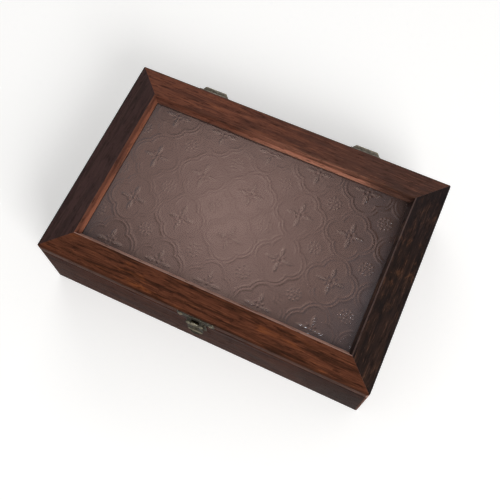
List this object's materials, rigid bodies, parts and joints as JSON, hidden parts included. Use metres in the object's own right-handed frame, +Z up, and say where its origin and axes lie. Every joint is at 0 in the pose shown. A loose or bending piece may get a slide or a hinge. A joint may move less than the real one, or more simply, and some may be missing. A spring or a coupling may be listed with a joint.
{
  "type": "jewelry box",
  "caption": "Low wooden jewelry box; its hinged lid is a mitred frame round a figured glass pane, held open by stop hinges and closed by a small hasp.",
  "frame": {"origin": "middle of the box's underside, on the face it rests on", "axes": "+X along the front from left to right, +Y from the front to the hinged back, +Z up"},
  "size_m": [0.25, 0.1752, 0.066],
  "materials": {
    "dark_wood": "dark walnut stain, satin, worn arrises",
    "red_wood": "red-brown stain with darker grain, satin",
    "plain_wood": "thin light stain, matt",
    "flannel": "taupe flannel on card",
    "bronze": "antique bronze, dull, rubbed bright on the edges",
    "glass": "figured glass with pressed flowers in quatrefoils"
  },
  "bodies": {
    "base": {"base_front": "dark_wood", "base_back": "dark_wood", "base_left": "dark_wood", "base_right": "dark_wood", "bottom_panel": "plain_wood", "bottom_brads": "bronze", "bottom_lining": "flannel", "hinge_left_base_leaf": "bronze", "hinge_right_base_leaf": "bronze", "hinge_left_pin": "bronze", "hinge_right_pin": "bronze", "hinge_screws_base": "bronze", "catch_plate": "bronze", "catch_stud": "bronze", "catch_screws": "bronze"},
    "lid": {"lid_front": "red_wood", "lid_back": "red_wood", "lid_left": "dark_wood", "lid_right": "dark_wood", "glass_pane": "glass", "strip_front": "plain_wood", "strip_back": "plain_wood", "strip_left": "plain_wood", "strip_right": "plain_wood", "strip_brads": "bronze", "hinge_left_lid_leaf": "bronze", "hinge_right_lid_leaf": "bronze", "hinge_screws_lid": "bronze", "latch_plate": "bronze", "latch_screws": "bronze", "latch_pin": "bronze"},
    "hasp": {"hasp": "bronze"}
  },
  "joints": [
    {"name": "lid_hinge", "type": "hinge", "parent": "base", "child": "lid", "pos_m": [0, 0.084, 0.056], "axis": [-1, 0, 0], "range_deg": [0, 95]},
    {"name": "hasp_hinge", "type": "hinge", "parent": "lid", "child": "hasp", "pos_m": [0, -0.0847, 0.0566], "axis": [-1, 0, 0], "range_deg": [-5.5, 188]}
  ]
}
